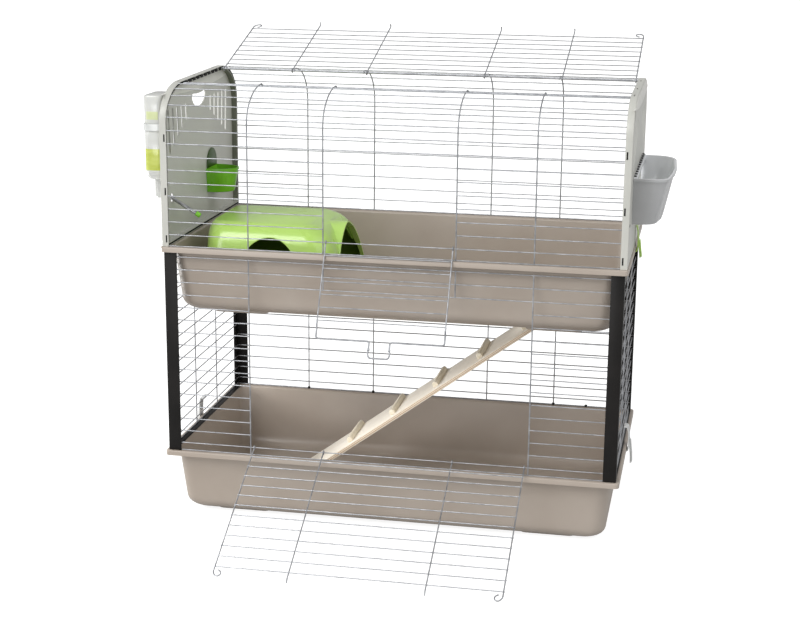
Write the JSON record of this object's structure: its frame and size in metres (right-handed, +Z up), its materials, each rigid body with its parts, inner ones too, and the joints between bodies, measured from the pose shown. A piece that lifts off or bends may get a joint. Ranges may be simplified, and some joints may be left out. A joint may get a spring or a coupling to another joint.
{
  "type": "small pet cage",
  "caption": "Two-storey wire cage for ferrets on two deep trays, with doors, a roof lid, a ramp, a hide house, a water bottle, a feeder cup and a hay rack.",
  "frame": {"origin": "on the floor, at the middle of the flat pad under the lower tray", "axes": "+Z up, +Y from the doors to the back, +X along the length to the right as seen from the doors"},
  "size_m": [1.1237, 0.9942, 1.0476],
  "materials": {
    "tray_plastic": "taupe moulded plastic with a soft gloss and fine scuffs inside",
    "black_plastic": "black moulded plastic, fine grain",
    "zinc_wire": "bright zinc plated wire",
    "panel_plastic": "pale grey moulded plastic, soft gloss",
    "plywood": "raw plywood, fine straight grain",
    "pine": "raw pine",
    "bright_steel": "plain bright steel",
    "lime_plastic": "translucent lime plastic, glossy",
    "green_plastic": "deep green moulded plastic, glossy",
    "clear_plastic": "clear milky plastic",
    "cap_plastic": "pale grey moulded plastic",
    "smoke_plastic": "milky translucent grey plastic",
    "clip_lime": "lime moulded plastic",
    "clip_clear": "milky white moulded plastic"
  },
  "bodies": {
    "cage": {"lower_tray": "tray_plastic", "upper_tray": "tray_plastic", "post_front_left": "black_plastic", "post_front_right": "black_plastic", "post_rear_left": "black_plastic", "post_rear_right": "black_plastic", "side_rail_left": "black_plastic", "side_rail_right": "black_plastic", "lower_front_grille": "zinc_wire", "lower_rear_grille": "zinc_wire", "lower_left_grille": "zinc_wire", "lower_right_grille": "zinc_wire", "front_roof_bar": "zinc_wire", "rear_roof_bar": "zinc_wire", "upper_front_grille": "zinc_wire", "upper_rear_grille": "zinc_wire", "left_end_panel": "panel_plastic", "right_end_panel": "panel_plastic"},
    "lower_door": {"lower_front_door": "zinc_wire"},
    "upper_door": {"upper_front_door": "zinc_wire"},
    "lid": {"roof_lid": "zinc_wire"},
    "ramp": {"ramp_plank": "plywood", "ramp_cleat_1": "pine", "ramp_cleat_2": "pine", "ramp_cleat_3": "pine", "ramp_cleat_4": "pine", "ramp_cleat_5": "pine", "ramp_hook": "bright_steel"},
    "house": {"hide_house": "lime_plastic"},
    "cup": {"feeder_cup": "green_plastic"},
    "bottle": {"bottle_body": "clear_plastic", "bottle_cap": "cap_plastic", "bottle_strap": "clear_plastic", "drinking_tube": "bright_steel", "tube_tip": "green_plastic"},
    "rack": {"hay_rack": "smoke_plastic"},
    "clip_upper_left": {"upper_clip_left": "clip_lime"},
    "clip_upper_right": {"upper_clip_right": "clip_lime"},
    "clip_lower_left": {"lower_clip_left": "clip_clear"},
    "clip_lower_right": {"lower_clip_right": "clip_clear"}
  },
  "joints": [
    {"name": "lower_door_hinge", "type": "hinge", "parent": "cage", "child": "lower_door", "pos_m": [0, -0.259, 0.173], "axis": [-1, 0, 0], "range_deg": [0, 94]},
    {"name": "upper_door_hinge", "type": "hinge", "parent": "cage", "child": "upper_door", "pos_m": [0, -0.259, 0.641], "axis": [-1, 0, 0], "range_deg": [0, 153]},
    {"name": "lid_hinge", "type": "hinge", "parent": "cage", "child": "lid", "pos_m": [0, 0.14, 0.957], "axis": [1, 0, 0], "range_deg": [0, 163]},
    {"name": "ramp_hinge", "type": "hinge", "parent": "cage", "child": "ramp", "pos_m": [0.343, 0, 0.486], "axis": [0, 1, 0], "range_deg": [0, 18]},
    {"name": "house_lift", "type": "slide", "parent": "cage", "child": "house", "axis": [0.2425, 0, 0.9701], "range_m": [0, 0.1]},
    {"name": "cup_lift", "type": "slide", "parent": "cage", "child": "cup", "axis": [0, 0, 1], "range_m": [0, 0.05]},
    {"name": "bottle_pull", "type": "slide", "parent": "cage", "child": "bottle", "axis": [-0.866, 0, 0.5], "range_m": [0, 0.08]},
    {"name": "rack_lift", "type": "slide", "parent": "cage", "child": "rack", "axis": [0, 0, 1], "range_m": [0, 0.05]},
    {"name": "upper_left_clip_hinge", "type": "hinge", "parent": "cage", "child": "clip_upper_left", "pos_m": [-0.4985, 0, 0.6021], "axis": [0, -1, 0], "range_deg": [0, 50]},
    {"name": "upper_right_clip_hinge", "type": "hinge", "parent": "cage", "child": "clip_upper_right", "pos_m": [0.4985, 0, 0.6021], "axis": [0, 1, 0], "range_deg": [0, 50]},
    {"name": "lower_left_clip_hinge", "type": "hinge", "parent": "cage", "child": "clip_lower_left", "pos_m": [-0.4985, 0, 0.1421], "axis": [0, -1, 0], "range_deg": [0, 50]},
    {"name": "lower_right_clip_hinge", "type": "hinge", "parent": "cage", "child": "clip_lower_right", "pos_m": [0.4985, 0, 0.1421], "axis": [0, 1, 0], "range_deg": [0, 50]}
  ]
}
